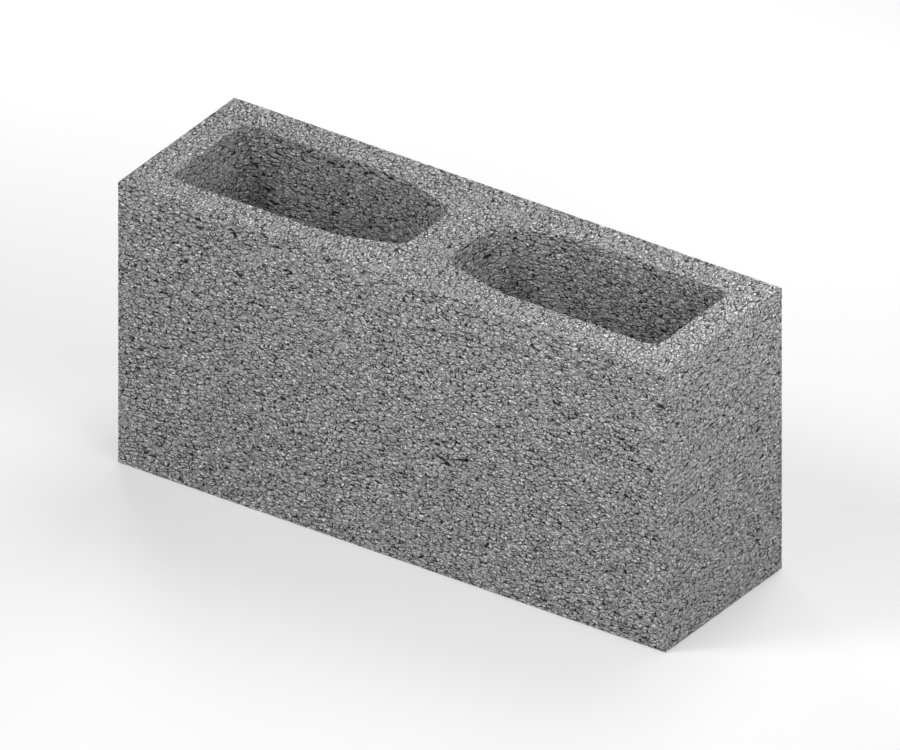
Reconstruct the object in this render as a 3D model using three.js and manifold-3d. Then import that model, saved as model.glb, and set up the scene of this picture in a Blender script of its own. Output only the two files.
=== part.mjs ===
// Two-core hollow concrete block for a partition wall.
// Millimetres, +Z up. The origin is at the centre of the bottom face: X runs along the block,
// Y through the wall's thickness.
import * as THREE from 'three';
import * as BufferGeometryUtils from 'three/addons/utils/BufferGeometryUtils.js';
import Module from 'manifold-3d';

// Outer size: one course of a 400 x 200 mm module, less a 10 mm mortar joint.
const blockLength = 390;
const blockThickness = 120;
const blockHeight = 190;

// Walls round the cores, measured at the top face.
const faceShell = 22;
const faceShellAtWeb = 35;
const endWall = 22;
const webThickness = 30;

// Each core narrows towards the web over this length, as its face shells thicken.
const shellTaperLength = 44;

// Rounded corners of a core, at the end wall, where the taper starts, and at the web.
const endCornerRadius = 8;
const taperStartRadius = 14;
const webCornerRadius = 12;

// A core wall leans in by this much from the top face to the bottom face, to free the mould core.
const coreDraft = 2;

// How far the cutting solids stand out past the block, and the chords in each rounded corner.
const cutOverrun = 5;
const cornerSteps = 8;

// Cast concrete: neutral mid grey, dry and quite matt.
const concrete = new THREE.MeshStandardMaterial({
  name: 'concrete',
  color: new THREE.Color().setRGB(0.55, 0.55, 0.545, THREE.SRGBColorSpace),
  roughness: 0.95,
  metalness: 0,
});

const wasm = await Module();
wasm.setup();

function toSolid(geometry) {
  const bare = geometry.clone();
  bare.deleteAttribute('normal');
  bare.deleteAttribute('uv');
  const merged = BufferGeometryUtils.mergeVertices(bare);
  return new wasm.Manifold(new wasm.Mesh({
    numProp: 3,
    vertProperties: merged.attributes.position.array,
    triVerts: new Uint32Array(merged.index.array),
  }));
}

function toGeometry(solid) {
  const mesh = solid.getMesh();
  const geometry = new THREE.BufferGeometry();
  geometry.setAttribute('position', new THREE.BufferAttribute(mesh.vertProperties, 3));
  geometry.setIndex(new THREE.BufferAttribute(mesh.triVerts, 1));
  geometry.computeVertexNormals();
  return geometry;
}

// Rounds one corner of a counter-clockwise outline with an arc that touches both of its sides.
function addRoundedCorner(outline, previous, corner, next) {
  const towardPrevious = previous.point.clone().sub(corner.point).normalize();
  const towardNext = next.point.clone().sub(corner.point).normalize();
  const halfAngle = towardPrevious.angleTo(towardNext) / 2;
  const centre = towardPrevious.clone().add(towardNext);
  centre.setLength(corner.radius / Math.sin(halfAngle)).add(corner.point);
  const touchDistance = corner.radius / Math.tan(halfAngle);
  const start = towardPrevious.setLength(touchDistance).add(corner.point).sub(centre);
  const end = towardNext.setLength(touchDistance).add(corner.point).sub(centre);
  outline.absarc(centre.x, centre.y, corner.radius, start.angle(), end.angle(), false);
}

// The core on the +X side, as it opens in the top face: straight sides from the end wall to where
// the shells start to thicken, then a taper to a narrower end beside the web.
function coreOutline() {
  const webX = webThickness / 2;
  const taperX = webX + shellTaperLength;
  const endX = blockLength / 2 - endWall;
  const halfWidth = blockThickness / 2 - faceShell;
  const halfWidthAtWeb = blockThickness / 2 - faceShellAtWeb;
  const corners = [
    { point: new THREE.Vector2(webX, -halfWidthAtWeb), radius: webCornerRadius },
    { point: new THREE.Vector2(taperX, -halfWidth), radius: taperStartRadius },
    { point: new THREE.Vector2(endX, -halfWidth), radius: endCornerRadius },
    { point: new THREE.Vector2(endX, halfWidth), radius: endCornerRadius },
    { point: new THREE.Vector2(taperX, halfWidth), radius: taperStartRadius },
    { point: new THREE.Vector2(webX, halfWidthAtWeb), radius: webCornerRadius },
  ];
  const outline = new THREE.Shape();
  corners.forEach((corner, index) => {
    const previous = corners.at(index - 1);
    const next = corners[(index + 1) % corners.length];
    addRoundedCorner(outline, previous, corner, next);
  });
  outline.closePath();
  return outline;
}

// The solid that the mould core leaves empty. A bevel of a single step, as deep as the block is
// high, gives its walls an even draft below the top face; above it the plug only has to clear.
function coreSolid(turn) {
  const depth = blockHeight + cutOverrun;
  const draft = coreDraft * depth / blockHeight;
  const plug = new THREE.ExtrudeGeometry(coreOutline(), {
    depth: cutOverrun,
    curveSegments: cornerSteps,
    bevelEnabled: true,
    bevelThickness: depth,
    bevelSize: draft,
    bevelOffset: -draft,
    bevelSegments: 1,
  });
  plug.translate(0, 0, blockHeight);
  plug.rotateZ(turn);
  return toSolid(plug);
}

function blockGeometry() {
  const box = new THREE.BoxGeometry(blockLength, blockThickness, blockHeight);
  box.translate(0, 0, blockHeight / 2);
  let solid = toSolid(box);
  for (const turn of [0, Math.PI]) {
    solid = solid.subtract(coreSolid(turn));
  }
  return toGeometry(solid);
}

const block = new THREE.Mesh(blockGeometry(), concrete);
block.name = 'block';

const part = new THREE.Group();
part.add(block);

export default part;
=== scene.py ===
import math

import bmesh
import bpy
import numpy as np
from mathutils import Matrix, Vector


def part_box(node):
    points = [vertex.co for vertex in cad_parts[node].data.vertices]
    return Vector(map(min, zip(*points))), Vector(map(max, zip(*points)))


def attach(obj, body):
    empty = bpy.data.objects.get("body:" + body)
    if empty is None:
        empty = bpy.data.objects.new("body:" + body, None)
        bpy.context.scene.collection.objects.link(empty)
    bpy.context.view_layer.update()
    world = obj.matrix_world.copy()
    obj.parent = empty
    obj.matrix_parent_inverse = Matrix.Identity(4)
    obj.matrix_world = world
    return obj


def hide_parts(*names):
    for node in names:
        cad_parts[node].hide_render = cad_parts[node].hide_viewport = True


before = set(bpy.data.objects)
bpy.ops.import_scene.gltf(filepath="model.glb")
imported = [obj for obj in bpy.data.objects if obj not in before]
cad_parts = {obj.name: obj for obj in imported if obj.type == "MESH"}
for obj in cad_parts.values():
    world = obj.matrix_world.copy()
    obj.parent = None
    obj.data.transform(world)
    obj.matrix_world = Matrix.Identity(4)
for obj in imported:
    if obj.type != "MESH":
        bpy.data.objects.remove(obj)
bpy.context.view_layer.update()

mm = 0.001
near = 0.01 * mm
blockLow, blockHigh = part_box("block")
halfWay = (0.5, 0.5, 0.5)        # the middle of a random colour or a noise


def startClean():
    bpy.ops.object.select_all(action="DESELECT")


def editMode(piece):
    bpy.context.view_layer.objects.active = piece
    bpy.ops.object.mode_set(mode="EDIT")


def objectMode():
    bpy.ops.object.mode_set(mode="OBJECT")


def pick(piece, kind, test):
    # select only the verts or edges that pass the test
    bpy.ops.mesh.select_all(action="DESELECT")
    shape = bmesh.from_edit_mesh(piece.data)
    for item in getattr(shape, kind):
        if test(item):
            item.select_set(True)
    bmesh.update_edit_mesh(piece.data)


def addBox(name, low, high):
    startClean()
    bpy.ops.mesh.primitive_cube_add(size=1)
    piece = bpy.context.object
    piece.name = name
    piece.data.name = name
    piece.scale = [b - a for a, b in zip(low, high)]
    piece.location = [(a + b) / 2 for a, b in zip(low, high)]
    bpy.ops.object.transform_apply(location=True, rotation=True, scale=True)
    return piece


def applyModifier(piece, modifier):
    startClean()
    piece.select_set(True)
    bpy.context.view_layer.objects.active = piece
    bpy.ops.object.modifier_apply(modifier=modifier.name)


# one small kit of nodes serves both the relief of the mesh and the finish


def addNode(tree, kind, inputs=None, **settings):
    node = tree.nodes.new(kind)
    for name, value in settings.items():
        setattr(node, name, value)
    for name, value in (inputs or {}).items():
        if isinstance(value, bpy.types.NodeSocket):
            tree.links.new(value, node.inputs[name])
        else:
            node.inputs[name].default_value = value
    return node


def maths(tree, operation, a, b=0.0, c=0.0):
    return addNode(tree, "ShaderNodeMath", {0: a, 1: b, 2: c}, operation=operation).outputs[0]


def vectors(tree, operation, a, b):
    second = "Scale" if operation == "SCALE" else 1
    return addNode(tree, "ShaderNodeVectorMath", {0: a, second: b}, operation=operation).outputs[0]


def fade(tree, value, low, high, outLow=0.0, outHigh=1.0, curve="SMOOTHSTEP"):
    node = addNode(tree, "ShaderNodeMapRange", {"Value": value, "From Min": low, "From Max": high,
                   "To Min": outLow, "To Max": outHigh}, interpolation_type=curve)
    return node.outputs["Result"]


def cloud(tree, spot, size, detail):
    return addNode(tree, "ShaderNodeTexNoise", {"Vector": spot, "Scale": 1 / size, "Detail": detail}).outputs


def between(tree, share, a, b):
    step = vectors(tree, "SCALE", [q - p for p, q in zip(a, b)], share)
    return vectors(tree, "ADD", a, step)


def dots(tree, a, b):
    return addNode(tree, "ShaderNodeVectorMath", {0: a, 1: b}, operation="DOT_PRODUCT").outputs["Value"]


def parts(tree, vector):
    return addNode(tree, "ShaderNodeSeparateXYZ", {0: vector}).outputs


def grains(tree, spot, size, shadedSide):
    # for each grain a random colour, how far its broken face leans out, and how far the spot lies toward its
    # shaded side
    cell = addNode(tree, "ShaderNodeTexVoronoi", {"Vector": spot, "Scale": 1 / size}).outputs
    out = vectors(tree, "SUBTRACT", spot, cell["Position"])
    lean = dots(tree, out, vectors(tree, "SUBTRACT", cell["Color"], halfWay))
    return parts(tree, cell["Color"]), lean, maths(tree, "DIVIDE", dots(tree, out, shadedSide), size)


def seams(tree, spot, size):
    # distance to the nearest gap between grains, in grain widths
    cell = addNode(tree, "ShaderNodeTexVoronoi", {"Vector": spot, "Scale": 1 / size},
                   feature="DISTANCE_TO_EDGE")
    return cell.outputs["Distance"]


def specks(tree, spot, size, share, edge):
    # small round spots, at most one to each cell
    cell = addNode(tree, "ShaderNodeTexVoronoi", {"Vector": spot, "Scale": 1 / size}).outputs
    chosen = maths(tree, "GREATER_THAN", parts(tree, cell["Color"])[1], 1 - share)
    return maths(tree, "MULTIPLY", chosen, fade(tree, cell["Distance"], *edge, 1.0, 0.0))


# the grains of the mix: how they lie in the mould
mixSet = {
    "stoneSize": 5.2 * mm,
    "sandSize": 2.6 * mm,
    "pressed": (1.0, 1.0, 1.8),        # pressed from above, so the grains lie flat
    "shadedSide": (0.0, 0.0, -1.0),        # the side of a grain painted in shade: its underside, away from the light from above
    # the struck top has smaller grains, dragged one way
    "topLevel": blockHigh.z - 0.1 * mm,
    "topPressed": (1.5, 1.1, 1.8),
    # on the top the painted shade falls on the side away from the lamps at the right and back
    "topShadedSide": (-1.0, -0.6, 0.0),
    "jostle": 1.8 * mm,
    "jostleSize": 3.6 * mm,
    "jostleDetail": 2.5,
    "patchSize": 16 * mm,
    "patchPush": 0.27,
    "broadDetail": 1.0,
    "hollowSize": 17 * mm,
    "hollowShare": (0.76, 0.80),
    "hollowEdge": (0.04, 0.26),
}


def laidGrains(tree, spot):
    s = mixSet
    top = maths(tree, "GREATER_THAN", parts(tree, spot)[2], s["topLevel"])
    laid = vectors(tree, "MULTIPLY", spot, between(tree, top, s["pressed"], s["topPressed"]))
    shadedSide = between(tree, top, s["shadedSide"], s["topShadedSide"])
    drift = cloud(tree, laid, s["jostleSize"], s["jostleDetail"])["Color"]
    push = vectors(tree, "SCALE", vectors(tree, "SUBTRACT", drift, halfWay), s["jostle"])
    # rough and closed areas: how far the gaps open, from area to area and from grain to grain
    patch = cloud(tree, laid, s["patchSize"], s["broadDetail"])["Fac"]
    patch = maths(tree, "MULTIPLY", maths(tree, "SUBTRACT", patch, halfWay[0]), s["patchPush"])
    drift = vectors(tree, "ADD", drift, vectors(tree, "SCALE", (1, 1, 1), patch))
    return laid, vectors(tree, "ADD", laid, push), shadedSide, parts(tree, drift), top


def hollows(tree, laid, stoneSeam):
    # a few places where the mix didn't close up
    s = mixSet
    where = fade(tree, cloud(tree, laid, s["hollowSize"], s["broadDetail"])["Fac"], *s["hollowShare"])
    return maths(tree, "MULTIPLY", where, fade(tree, stoneSeam, *s["hollowEdge"], 1.0, 0.0))


# the finish: a plain grey, with painted shade in the gaps between grains and a painted highlight on their
# upper rims;
# gap and rim widths are shares of a grain
concreteSet = {
    "colour": (0.448, 0.447, 0.445),
    "roughness": (0.78, 0.98),
    # how far the gaps open: noise and a random share for each grain, mostly on its shaded side, so their
    # painted shade falls under the grain
    "ownOpen": 0.35,
    "sandOpen": (0.68, 0.74),
    "stoneOpen": (0.61, 0.67),
    "lowReach": 0.25,
    "lowShade": (0.0, 1.2),
    # painted shade in the gaps between grains: how wide and how dark the dark lines are
    "seamWidth": (0.015, 0.135),
    "crackWidth": (0.015, 0.095),
    "gapFlat": 0.5,
    "gapShadowTone": 0.0,
    "faintShadeWidth": 0.12,
    "faintShadeTone": 0.85,
    # stones with a plain face
    "plainShare": 0.30,
    "plainEdge": 0.02,
    "plainGrit": 0.5,
    "plainOpen": 0.2,
    # what stands up and leans in the bump
    "sandRelief": 0.5 * mm,
    "sandEdge": 0.25,
    "closedRelief": 0.35,
    "domeRelief": 0.35 * mm,
    "domeReach": 0.5,
    "sandLean": 0.5,
    "crackRelief": 0.7 * mm,
    "crackReach": 0.1235,
    "stoneLean": 0.15,
    # tones of the grains, with a painted highlight on their rims and painted shade on the top face and in
    # the hollows
    "sandTone": (-0.06, 0.08),
    "stoneTone": (0.96, 1.04),
    "gritSize": 0.88 * mm,
    "gritTone": 0.62,
    "gritTail": 0.75,
    "gritTailPower": 3.0,
    # painted highlight on the lit upper rim of each grain
    "rimHighlight": 1.4,
    "highlightWidth": (0.10, 0.25),
    "highlightSide": (-0.10, -0.35),
    "fleckSize": 2.6 * mm,
    "fleckShare": 0.45,
    "fleckEdge": (0.20, 0.36),
    "fleckTone": 1.75,
    # painted shade in the hollows
    "hollowShade": 0.10,
    "hollowFull": 0.6,
    # painted shade: the top face is painted a little darker than the sides
    "topShade": 0.915,
    "topRough": 1.25,
    # painted shade: the walls of the cores are painted a little darker
    "coreShade": 0.89,
    "coreShadeReach": 3 * mm,
}


def mix(tree, share, low, high):
    return fade(tree, share, 0.0, 1.0, low, high, "LINEAR")


def depthInside(tree, spot):
    # how far a spot is from the nearest outer face: 0 everywhere but on the walls of the cores
    out = vectors(tree, "SUBTRACT", spot, tuple((blockLow + blockHigh) / 2))
    out = vectors(tree, "MAXIMUM", out, vectors(tree, "SCALE", out, -1.0))
    room = parts(tree, vectors(tree, "SUBTRACT", tuple((blockHigh - blockLow) / 2), out))
    return maths(tree, "MINIMUM", maths(tree, "MINIMUM", room[0], room[1]), room[2])


# painted shade along a gap between grains, fully dark in its middle
def gapShade(tree, seam, openness, widths):
    s = concreteSet
    edge = maths(tree, "MULTIPLY_ADD", openness, widths[1], widths[0])
    return fade(tree, seam, maths(tree, "MULTIPLY", edge, s["gapFlat"]), edge, s["gapShadowTone"], 1.0)


def concreteFinish():
    s = concreteSet
    paint = bpy.data.materials.new("castConcrete")
    paint.use_nodes = True
    tree = paint.node_tree
    shader = tree.nodes["Principled BSDF"]
    spot = addNode(tree, "ShaderNodeAttribute", attribute_name="castSpot").outputs["Vector"]
    laid, loose, shadedSide, drift, top = laidGrains(tree, spot)
    sandSeam = seams(tree, loose, mixSet["sandSize"])
    stoneSeam = seams(tree, loose, mixSet["stoneSize"])
    sand, sandLean, sandTowardShade = grains(tree, loose, mixSet["sandSize"], shadedSide)
    stone, stoneLean, stoneTowardShade = grains(tree, loose, mixSet["stoneSize"], shadedSide)
    grit = grains(tree, loose, s["gritSize"], shadedSide)[0]
    # some stones show a plain face with a gap round it, and the struck top is a little rougher
    plain = fade(tree, stone[1], 1 - s["plainShare"], 1 - s["plainShare"] + s["plainEdge"])
    rough = mix(tree, plain, 1.0, s["plainGrit"])
    rough = maths(tree, "MULTIPLY", rough, mix(tree, top, 1.0, s["topRough"]))
    sandOpen = fade(tree, maths(tree, "MULTIPLY_ADD", sand[2], s["ownOpen"], drift[0]), *s["sandOpen"])
    sandShade = fade(tree, sandTowardShade, -s["lowReach"], s["lowReach"], *s["lowShade"])
    sandOpen = maths(tree, "MULTIPLY", maths(tree, "MULTIPLY", sandOpen, sandShade), rough)
    stoneOpen = fade(tree, maths(tree, "MULTIPLY_ADD", stone[2], s["ownOpen"], drift[1]), *s["stoneOpen"])
    stoneOpen = maths(tree, "MULTIPLY_ADD", plain, s["plainOpen"], stoneOpen)
    stoneShade = fade(tree, stoneTowardShade, -s["lowReach"], s["lowReach"], *s["lowShade"])
    stoneOpen = maths(tree, "MULTIPLY", stoneOpen, stoneShade)

    sandRise = fade(tree, sandSeam, 0.0, s["sandEdge"])
    sandRise = maths(tree, "MULTIPLY", sandRise, fade(tree, sandOpen, 0.0, 1.0, s["closedRelief"], 1.0))
    lift = maths(tree, "MULTIPLY", sandRise, s["sandRelief"])
    dome = fade(tree, sandSeam, 0.0, s["domeReach"], curve="SMOOTHERSTEP")
    lift = maths(tree, "MULTIPLY_ADD", dome, s["domeRelief"], lift)
    lift = maths(tree, "MULTIPLY_ADD", sandLean, s["sandLean"], lift)
    lift = maths(tree, "MULTIPLY", lift, rough)
    lift = maths(tree, "MULTIPLY_ADD", fade(tree, stoneSeam, 0.0, s["crackReach"]), s["crackRelief"], lift)
    lift = maths(tree, "MULTIPLY_ADD", stoneLean, s["stoneLean"], lift)
    bump = addNode(tree, "ShaderNodeBump", {"Height": lift, "Strength": 1.0, "Distance": 1.0})
    tree.links.new(bump.outputs["Normal"], shader.inputs["Normal"])

    # most grit is of one grey, a little of it much paler
    apart = mix(tree, grit[0], -1.0, 1.0)
    paler = maths(tree, "POWER", maths(tree, "MAXIMUM", apart, 0.0), s["gritTailPower"])
    gritTone = maths(tree, "MULTIPLY", apart, s["gritTone"])
    gritTone = maths(tree, "MULTIPLY_ADD", paler, s["gritTail"], gritTone)
    # painted highlight on the upper rim of each grain, on the side away from its painted shade
    rim = fade(tree, sandSeam, *s["highlightWidth"], 1.0, 0.0)
    rim = maths(tree, "MULTIPLY", rim, fade(tree, sandTowardShade, *s["highlightSide"]))
    # a faint painted shade along every gap between sand grains
    faint = fade(tree, sandSeam, 0.0, s["faintShadeWidth"], s["faintShadeTone"] - 1.0, 0.0)
    fleck = specks(tree, spot, s["fleckSize"], s["fleckShare"], s["fleckEdge"])
    factors = [
        gapShade(tree, sandSeam, sandOpen, s["seamWidth"]),
        gapShade(tree, stoneSeam, stoneOpen, s["crackWidth"]),
        maths(tree, "MULTIPLY_ADD", faint, rough, 1.0),
        maths(tree, "MULTIPLY_ADD", mix(tree, sand[0], *s["sandTone"]), rough, 1.0),
        mix(tree, stone[0], *s["stoneTone"]),
        maths(tree, "MULTIPLY_ADD", gritTone, rough, 1.0),
        mix(tree, maths(tree, "MULTIPLY", rim, rough), 1.0, s["rimHighlight"]),
        mix(tree, fleck, 1.0, s["fleckTone"]),
        # painted shade in the hollows
        fade(tree, hollows(tree, laid, stoneSeam), 0.0, s["hollowFull"], 1.0, s["hollowShade"]),
        # painted shade on the top face
        mix(tree, top, 1.0, s["topShade"]),
        # painted shade on the walls of the cores
        fade(tree, depthInside(tree, spot), 0.0, s["coreShadeReach"], 1.0, s["coreShade"]),
    ]
    tone = factors[0]
    for factor in factors[1:]:
        tone = maths(tree, "MULTIPLY", tone, factor)
    tree.links.new(vectors(tree, "SCALE", s["colour"], tone), shader.inputs["Base Color"])
    tree.links.new(mix(tree, sand[2], *s["roughness"]), shader.inputs["Roughness"])
    print("concrete finish mixed")
    return paint


blockSet = {
    "faceShell": 22 * mm,
    "faceShellAtWeb": 35 * mm,
    "endWall": 22 * mm,
    "web": 30 * mm,
    "taperLength": 44 * mm,
    "endCorner": 8 * mm,
    "taperCorner": 14 * mm,
    "webCorner": 12 * mm,
    "draft": 2 * mm,
    "cornerSegments": 8,
    "cutOverrun": 5 * mm,
    "gridDepth": 9,
    "gridScale": 0.9,
    "triangles": 194000,
    "stoneDip": 0.38 * mm,
    "dipReach": 0.32,
    "stoneSunk": 0.16 * mm,
    "hollowDepth": 2.4 * mm,
    "hollowEdgeGap": 5 * mm,
    "wornEdge": 0.22 * mm,
    "wornReach": 1.6 * mm,
    "arrisRelief": 0.25,
    "arrisBend": 40,
    "smoothAngle": 50,
}


def coreCutter(side):
    # one core as a solid, a little taller than the block
    s = blockSet
    over = s["cutOverrun"]
    webX = s["web"] / 2
    taperX = webX + s["taperLength"]
    endX = blockHigh.x - s["endWall"]
    halfWide = blockHigh.y - s["faceShell"]
    halfAtWeb = blockHigh.y - s["faceShellAtWeb"]
    low = (webX, -halfWide, blockLow.z - over)
    high = (endX, halfWide, blockHigh.z + over)
    cutter = addBox("coreCutter", low, high)
    editMode(cutter)
    bpy.ops.mesh.select_all(action="SELECT")
    bpy.ops.mesh.bisect(plane_co=(taperX, 0, 0), plane_no=(1, 0, 0))
    pick(cutter, "verts", lambda v: abs(v.co.x - webX) < near)
    bpy.ops.transform.resize(value=(1, halfAtWeb / halfWide, 1), center_override=(webX, 0, 0))
    # mould draft: the bottom is smaller than the top
    tall = blockHigh.z - blockLow.z
    lean = s["draft"] * (tall + 2 * over) / tall
    middleX = (webX + endX) / 2
    pick(cutter, "verts", lambda v: v.co.z < blockLow.z)
    bpy.ops.transform.resize(value=(1 - 2 * lean / (endX - webX), 1 - lean / halfWide, 1),
                             center_override=(middleX, 0, blockLow.z))
    slope = math.atan2(halfWide - halfAtWeb, s["taperLength"])

    def upright(edge, x):
        a, b = edge.verts
        top = a if a.co.z > b.co.z else b
        return abs(a.co.z - b.co.z) > tall / 2 and abs(top.co.x - x) < near

    corners = [
        (webX, s["webCorner"] * math.tan((math.pi / 2 - slope) / 2)),
        (taperX, s["taperCorner"] * math.tan(slope / 2)),
        (endX, s["endCorner"]),
    ]
    for x, reach in corners:
        pick(cutter, "edges", lambda e: upright(e, x))
        bpy.ops.mesh.bevel(offset=reach, offset_type="OFFSET", segments=s["cornerSegments"], affect="EDGES")
    objectMode()
    if side < 0:
        cutter.rotation_euler.z = math.pi
        bpy.ops.object.transform_apply(location=False, rotation=True, scale=False)
    return cutter


def newModifierTree(name):
    tree = bpy.data.node_groups.new(name, "GeometryNodeTree")
    tree.interface.new_socket(name="Geometry", in_out="INPUT", socket_type="NodeSocketGeometry")
    tree.interface.new_socket(name="Geometry", in_out="OUTPUT", socket_type="NodeSocketGeometry")
    return tree, tree.nodes.new("NodeGroupInput").outputs[0]


def runTree(piece, tree, result):
    addNode(tree, "NodeGroupOutput", {0: result})
    run = piece.modifiers.new(tree.name, "NODES")
    run.node_group = tree
    applyModifier(piece, run)


def pressRelief(piece):
    # push the surface in between the stones, and round the arrises a little
    s = blockSet
    tree, mesh = newModifierTree("relief")
    spot = addNode(tree, "GeometryNodeInputPosition").outputs[0]
    laid, loose, shadedSide = laidGrains(tree, spot)[:3]
    stoneSeam = seams(tree, loose, mixSet["stoneSize"])
    stone = grains(tree, loose, mixSet["stoneSize"], shadedSide)[0]
    bend = addNode(tree, "GeometryNodeInputMeshEdgeAngle").outputs["Unsigned Angle"]
    sharp = maths(tree, "GREATER_THAN", bend, math.radians(s["arrisBend"]))
    arris = addNode(tree, "GeometryNodeSeparateGeometry", {"Geometry": mesh, "Selection": sharp},
                    domain="EDGE").outputs[0]
    away = addNode(tree, "GeometryNodeProximity", {0: arris}, target_element="EDGES").outputs["Distance"]
    depth = fade(tree, stoneSeam, 0.0, s["dipReach"], s["stoneDip"], 0.0)
    depth = maths(tree, "MULTIPLY_ADD", stone[0], s["stoneSunk"], depth)
    depth = maths(tree, "MULTIPLY", depth, fade(tree, away, 0.0, s["wornReach"], s["arrisRelief"], 1.0))
    clear = fade(tree, away, s["hollowEdgeGap"] / 2, s["hollowEdgeGap"])
    hollow = maths(tree, "MULTIPLY", hollows(tree, laid, stoneSeam), clear)
    depth = maths(tree, "MULTIPLY_ADD", hollow, s["hollowDepth"], depth)
    depth = maths(tree, "ADD", depth, fade(tree, away, 0.0, s["wornReach"], s["wornEdge"], 0.0))
    normal = addNode(tree, "GeometryNodeInputNormal").outputs[0]
    inward = vectors(tree, "SCALE", normal, maths(tree, "MULTIPLY", depth, -1.0))
    moved = addNode(tree, "GeometryNodeSetPosition", {"Geometry": mesh, "Offset": inward}).outputs[0]
    runTree(piece, tree, moved)


def rememberSpot(piece, smooth):
    # each point keeps its place on the smooth mould face, so the finish lines up with the relief;
    # thinning can lift a point over the mould face, so it is brought back inside
    tree, mesh = newModifierTree("castSpot")
    mould = addNode(tree, "GeometryNodeObjectInfo", {"Object": smooth}, transform_space="RELATIVE")
    place = addNode(tree, "GeometryNodeProximity", {0: mould.outputs["Geometry"]}, target_element="FACES")
    kept = addNode(tree, "GeometryNodeStoreNamedAttribute", {"Geometry": mesh, "Name": "castSpot",
                   "Value": place.outputs["Position"]}, data_type="FLOAT_VECTOR", domain="POINT")
    spot = addNode(tree, "GeometryNodeInputPosition").outputs[0]
    inside = vectors(tree, "MINIMUM", vectors(tree, "MAXIMUM", spot, tuple(blockLow)), tuple(blockHigh))
    moved = addNode(tree, "GeometryNodeSetPosition", {"Geometry": kept.outputs[0], "Position": inside})
    runTree(piece, tree, moved.outputs[0])


# how the faces of the block lie side by side on the baking sheet, in mm
sheetSet = {
    "size": 776,
    "margin": 2,
    "skin": 1.2,        # how near to the top or bottom a face counts as part of it
    "outerSkin": 12,
    "facing": 0.6,
    "front": (0, 0),
    "back": (0, 194),
    "leftEnd": (0, 388),
    "rightEnd": (124, 388),
    "top": (248, 388),
    "bottom": (0, 582),
    "coreSides": ((394, 0), (556, 0), (394, 194), (556, 194)),
    "coreEnds": ((394, 582), (474, 582), (554, 582), (634, 582)),
}


def spreadForBake(piece):
    s = sheetSet
    mesh = piece.data
    count = len(mesh.polygons)
    corners = np.empty(3 * count, np.int32)
    mesh.loops.foreach_get("vertex_index", corners)
    place = np.empty(3 * len(mesh.vertices), np.float32)
    mesh.attributes["castSpot"].data.foreach_get("vector", place)
    place = place.reshape(-1, 3)[corners].reshape(count, 3, 3) / mm
    normal = np.empty(3 * count, np.float32)
    mesh.polygons.foreach_get("normal", normal)
    up = normal.reshape(-1, 3)[:, 2]
    x, y, z = place.mean(axis=1).T
    low, high = np.array(blockLow) / mm, np.array(blockHigh) / mm
    b = {name: value / mm for name, value in blockSet.items()}
    shrink = b["draft"] * (1 - z / high[2])
    halfWide = np.interp(abs(x), (b["web"] / 2, b["web"] / 2 + b["taperLength"]),
                         (high[1] - b["faceShellAtWeb"], high[1] - b["faceShell"]))
    toSide = abs(halfWide - shrink - abs(y))
    toEnd = abs(high[0] - b["endWall"] - shrink - abs(x))
    toWeb = abs(abs(x) - b["web"] / 2 - shrink)
    skin, outer, facing = s["skin"], s["outerSkin"], s["facing"]
    core = 2 * (x > 0) + (y > 0)
    coreEnd = 2 * (x > 0) + (toWeb < toEnd)
    sideWall = toSide < np.minimum(toEnd, toWeb)
    toOuterEnd = np.minimum(x - low[0], high[0] - x)
    # region test, the two axes to lay flat, their start, and the place on the sheet
    regions = [
        ((high[2] - z < skin) & (up > facing), 0, 1, low[0], s["top"]),
        ((z < skin) & (up < -facing), 0, 1, low[0], s["bottom"]),
        ((y - low[1] < outer) & (y - low[1] <= toOuterEnd), 0, 2, low[0], s["front"]),
        ((high[1] - y < outer) & (high[1] - y <= toOuterEnd), 0, 2, low[0], s["back"]),
        (x - low[0] < outer, 1, 2, low[1], s["leftEnd"]),
        (high[0] - x < outer, 1, 2, low[1], s["rightEnd"]),
    ]
    for k in range(4):
        start = 0 if k > 1 else -high[0]
        start += b["web"] / 2 if k > 1 else b["endWall"]
        regions.append((sideWall & (core == k), 0, 2, start, s["coreSides"][k]))
        regions.append((~sideWall & (coreEnd == k), 1, 2, b["faceShell"] - high[1], s["coreEnds"][k]))
    flat = np.zeros((count, 3, 2), np.float32)
    left = np.ones(count, bool)
    for here, across, along, start, (u, v) in regions:
        here = here & left
        left &= ~here
        flat[here, :, 0] = place[here][:, :, across] - start + u
        flat[here, :, 1] = place[here][:, :, along] - low[along] + v
    flat = (flat + s["margin"]) / s["size"]
    mesh.uv_layers.new(name="OFBake").data.foreach_set("uv", flat.ravel())


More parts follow.
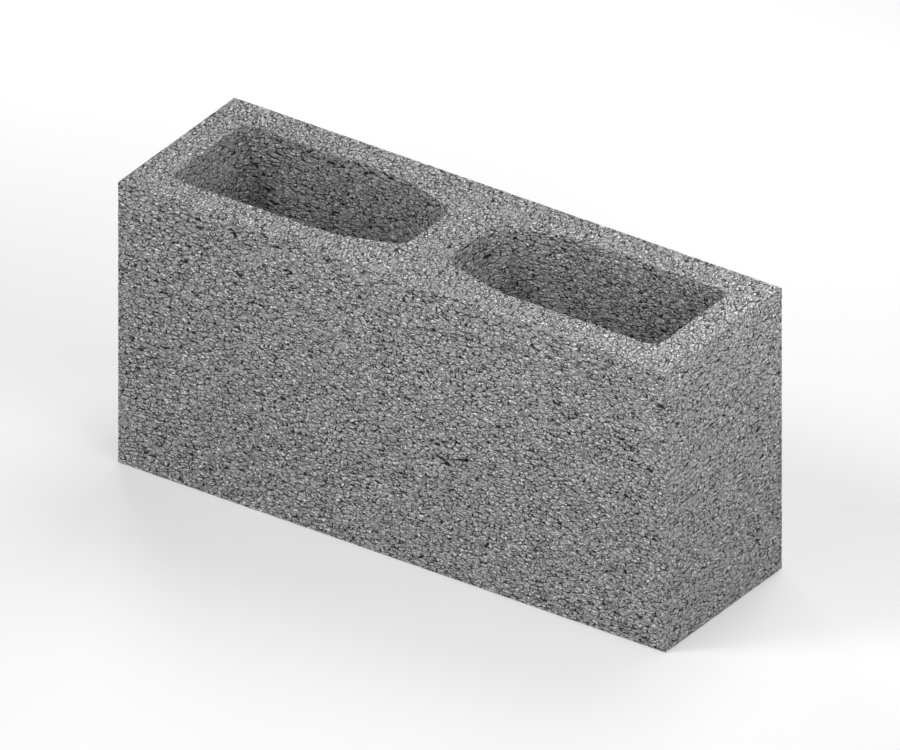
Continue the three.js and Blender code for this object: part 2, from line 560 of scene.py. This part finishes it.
def castBlock():
    s = blockSet
    piece = addBox("concreteBlock", blockLow, blockHigh)
    for side in (1, -1):
        cutter = coreCutter(side)
        cut = piece.modifiers.new("core", "BOOLEAN")
        cut.operation = "DIFFERENCE"
        cut.solver = "EXACT"
        cut.object = cutter
        applyModifier(piece, cut)
        bpy.data.objects.remove(cutter)
    startClean()
    piece.select_set(True)
    bpy.context.view_layer.objects.active = piece
    bpy.ops.object.duplicate()
    smooth = bpy.context.object
    grid = piece.modifiers.new("evenGrid", "REMESH")
    grid.mode = "SHARP"
    grid.octree_depth = s["gridDepth"] - 0
    grid.scale = s["gridScale"]
    applyModifier(piece, grid)
    print("block cast:", len(piece.data.polygons), "faces")
    pressRelief(piece)
    print("relief pressed in between the stones")
    corners = 2 * len(piece.data.polygons)
    if corners > s["triangles"]:
        thin = piece.modifiers.new("thin", "DECIMATE")
        thin.ratio = s["triangles"] / corners
        applyModifier(piece, thin)
    turn = piece.modifiers.new("triangles", "TRIANGULATE")
    applyModifier(piece, turn)
    rememberSpot(piece, smooth)
    spreadForBake(piece)
    bpy.data.objects.remove(smooth)
    startClean()
    piece.select_set(True)
    bpy.context.view_layer.objects.active = piece
    bpy.ops.object.shade_smooth_by_angle(angle=math.radians(s["smoothAngle"]))
    print("mesh thinned:", len(piece.data.polygons), "faces")
    return piece


block = castBlock()
block.data.materials.clear()
block.data.materials.append(concreteFinish())
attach(block, "root")
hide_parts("block")


studioSet = {
    "azimuth": 34.69,
    "elevation": 30.175,
    "frameWidth": 526.6 * mm,
    "cameraDistance": 2,
    "viewDepth": 20,
    "floorSize": 8,
    "floorDrop": 0.2 * mm,
    "floorGlow": 0.25,        # what the camera sees of the pale sweep, before the lamps
    "sweepReach": (0.9, 2.2),        # metres out, where the sweep turns to plain white
    "floorPale": 0.70,
    "floorBounce": 0.60,
    # azimuth, elevation, distance in metres, width as a share of it, watts at one metre
    "lamps": {
        "front": (0, 20, 0.8, 0.60, 1.5),
        "frontHigh": (15, 50, 0.5, 0.60, 1.4),
        "frontLeft": (320, 50, 2.2, 0.35, 3.5),
        "right": (75, 30, 1.1, 0.90, 4.6),
        "rightHigh": (100, 35, 0.36, 0.50, 1.0),
        "overBack": (180, 60, 1.8, 0.60, 3.4),
        "back": (180, 15, 1.1, 0.35, 0.9),
        "backNear": (180, 15, 0.6, 0.35, 0.8),
        "backLeft": (230, 15, 1.1, 0.35, 3.0),
    },
}


def directionOf(azimuth, elevation):
    a, e = math.radians(azimuth), math.radians(elevation)
    return Vector((math.sin(a) * math.cos(e), -math.cos(a) * math.cos(e), math.sin(e)))


def addCamera():
    middle = (blockLow + blockHigh) / 2
    away = directionOf(studioSet["azimuth"], studioSet["elevation"])
    lens = bpy.data.cameras.new("studioCamera")
    lens.type = "ORTHO"
    lens.ortho_scale = studioSet["frameWidth"]
    lens.clip_end = studioSet["viewDepth"]
    camera = bpy.data.objects.new("studioCamera", lens)
    bpy.context.scene.collection.objects.link(camera)
    camera.location = middle + away * studioSet["cameraDistance"]
    camera.rotation_euler = away.to_track_quat("Z", "Y").to_euler()
    bpy.context.scene.camera = camera


def addLamp(name, azimuth, elevation, distance, width, power):
    away = directionOf(azimuth, elevation)
    lamp = bpy.data.lights.new(name, "AREA")
    lamp.shape = "DISK"
    lamp.size = width * distance
    lamp.energy = power * distance * distance
    stand = bpy.data.objects.new(name, lamp)
    bpy.context.scene.collection.objects.link(stand)
    stand.location = (blockLow + blockHigh) / 2 + away * distance
    stand.rotation_euler = away.to_track_quat("Z", "Y").to_euler()


def seenDirectly(tree):
    # 1 for what the camera sees, also in a mirror or through glass, and 0 for what only gives light
    ray = addNode(tree, "ShaderNodeLightPath").outputs
    indirect = maths(tree, "MAXIMUM", ray["Is Glossy Ray"], ray["Is Transmission Ray"])
    return maths(tree, "MAXIMUM", ray["Is Camera Ray"], indirect)


def addFloor():
    s = studioSet
    startClean()
    bpy.ops.mesh.primitive_plane_add(size=s["floorSize"], location=(0, 0, -s["floorDrop"]))
    floor = bpy.context.object
    floor.name = "studioFloor"
    paint = bpy.data.materials.new("paleSweep")
    paint.use_nodes = True
    tree = paint.node_tree
    seen = seenDirectly(tree)
    shader = tree.nodes["Principled BSDF"]
    shader.inputs["Roughness"].default_value = 1.0
    shader.inputs["Specular IOR Level"].default_value = 0.0
    tree.links.new(mix(tree, seen, s["floorBounce"], s["floorPale"]), shader.inputs["Base Color"])
    shader.inputs["Emission Color"].default_value = (1, 1, 1, 1)
    place = addNode(tree, "ShaderNodeTexCoord").outputs["Object"]
    out = addNode(tree, "ShaderNodeVectorMath", {0: place}, operation="LENGTH").outputs["Value"]
    glow = fade(tree, out, *s["sweepReach"], s["floorGlow"], 1.0)
    tree.links.new(maths(tree, "MULTIPLY", seen, glow), shader.inputs["Emission Strength"])
    floor.data.materials.append(paint)


def addSky():
    world = bpy.data.worlds.new("studioSky")
    bpy.context.scene.world = world
    world.use_nodes = True
    tree = world.node_tree
    sky = tree.nodes["Background"]
    sky.inputs["Color"].default_value = (1, 1, 1, 1)
    tree.links.new(seenDirectly(tree), sky.inputs["Strength"])


addFloor()
addSky()
addCamera()
for name, settings in studioSet["lamps"].items():
    addLamp(name + "Lamp", *settings)
bpy.context.scene.view_settings.view_transform = "Standard"
print("studio ready")
